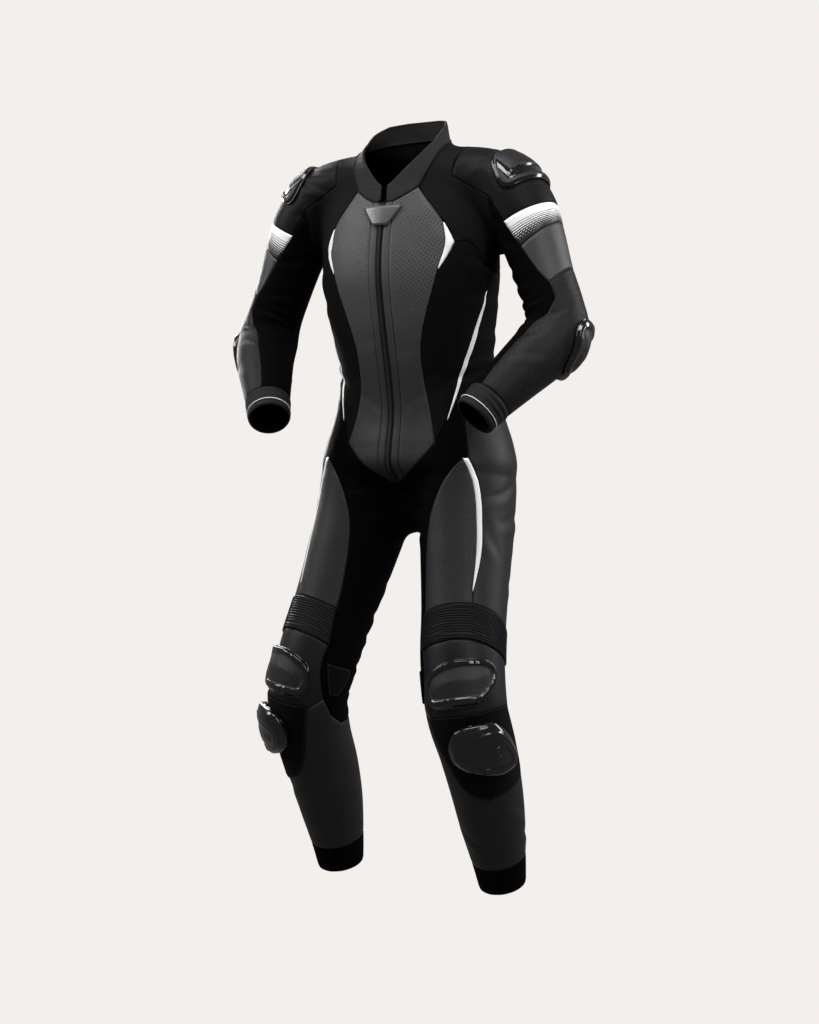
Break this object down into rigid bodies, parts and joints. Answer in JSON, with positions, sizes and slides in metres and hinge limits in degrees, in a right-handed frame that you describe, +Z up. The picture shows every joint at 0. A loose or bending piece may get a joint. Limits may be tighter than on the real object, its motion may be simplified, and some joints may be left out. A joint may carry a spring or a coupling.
{
  "type": "motorcycle race suit",
  "caption": "Full-body leather motorcycle race suit, filled out and hollow, with stand collar, ribbed knee inserts and hard guards at shoulders, elbows and knees.",
  "frame": {"origin": "between the shoulders on the middle plane, at the height where the suit hangs on its wearer's shoulders", "axes": "+X towards the wearer's left, +Y backwards (so -Y is the front), +Z up"},
  "size_m": [0.7066, 0.3378, 1.3746],
  "materials": {
    "leather": "finely perforated, satin",
    "dark_leather": "grained, satin",
    "grey_leather": "grained, satin",
    "white_leather": "smooth, satin",
    "flap_leather": "smooth, glossy",
    "stretch": "woven stretch cloth, matt",
    "collar_cloth": "padded, matt",
    "zip_tape": "woven tape with moulded teeth",
    "fleece": "short loop pile, matt",
    "label": "smooth woven, bare",
    "hard_gloss": "moulded, glossy",
    "hard_matt": "moulded, satin"
  },
  "bodies": {
    "root": {"front_panel_left": "leather", "front_panel_right": "leather", "placket_left": "leather", "placket_right": "leather", "chest_crescent_left": "white_leather", "chest_crescent_right": "white_leather", "shoulder_yoke_left": "stretch", "shoulder_yoke_right": "stretch", "front_side_left": "stretch", "front_side_right": "stretch", "side_stripe_left": "white_leather", "side_stripe_right": "white_leather", "side_panel_left": "stretch", "side_panel_right": "stretch", "shoulder_left": "dark_leather", "shoulder_right": "dark_leather", "arm_band_left": "white_leather", "arm_band_right": "white_leather", "upper_arm_left": "grey_leather", "upper_arm_right": "grey_leather", "forearm_left": "dark_leather", "forearm_right": "dark_leather", "sleeve_inner_left": "stretch", "sleeve_inner_right": "stretch", "cuff_left": "stretch", "cuff_right": "stretch", "leg_inner_left": "stretch", "leg_inner_right": "stretch", "thigh_front_left": "dark_leather", "thigh_front_right": "dark_leather", "thigh_stripe_left": "white_leather", "thigh_stripe_right": "white_leather", "thigh_outer_left": "grey_leather", "thigh_outer_right": "grey_leather", "knee_ribs_left": "dark_leather", "knee_ribs_right": "dark_leather", "knee_panel_left": "dark_leather", "knee_panel_right": "dark_leather", "lower_leg_left": "grey_leather", "lower_leg_right": "grey_leather", "ankle_cuff_left": "stretch", "ankle_cuff_right": "stretch", "knee_cup_left": "hard_gloss", "knee_cup_right": "hard_gloss", "slider_patch_left": "fleece", "slider_patch_right": "fleece", "knee_slider_left": "hard_gloss", "knee_slider_right": "hard_gloss", "knee_patch_left": "fleece", "knee_patch_right": "fleece", "shoulder_cap_left": "hard_matt", "shoulder_cap_right": "hard_matt", "elbow_cap_left": "hard_gloss", "elbow_cap_right": "hard_gloss", "zip": "zip_tape", "back_panel": "dark_leather", "seat_panel": "stretch", "collar": "collar_cloth", "neck_flap": "flap_leather", "neck_label": "label"}
  },
  "joints": []
}
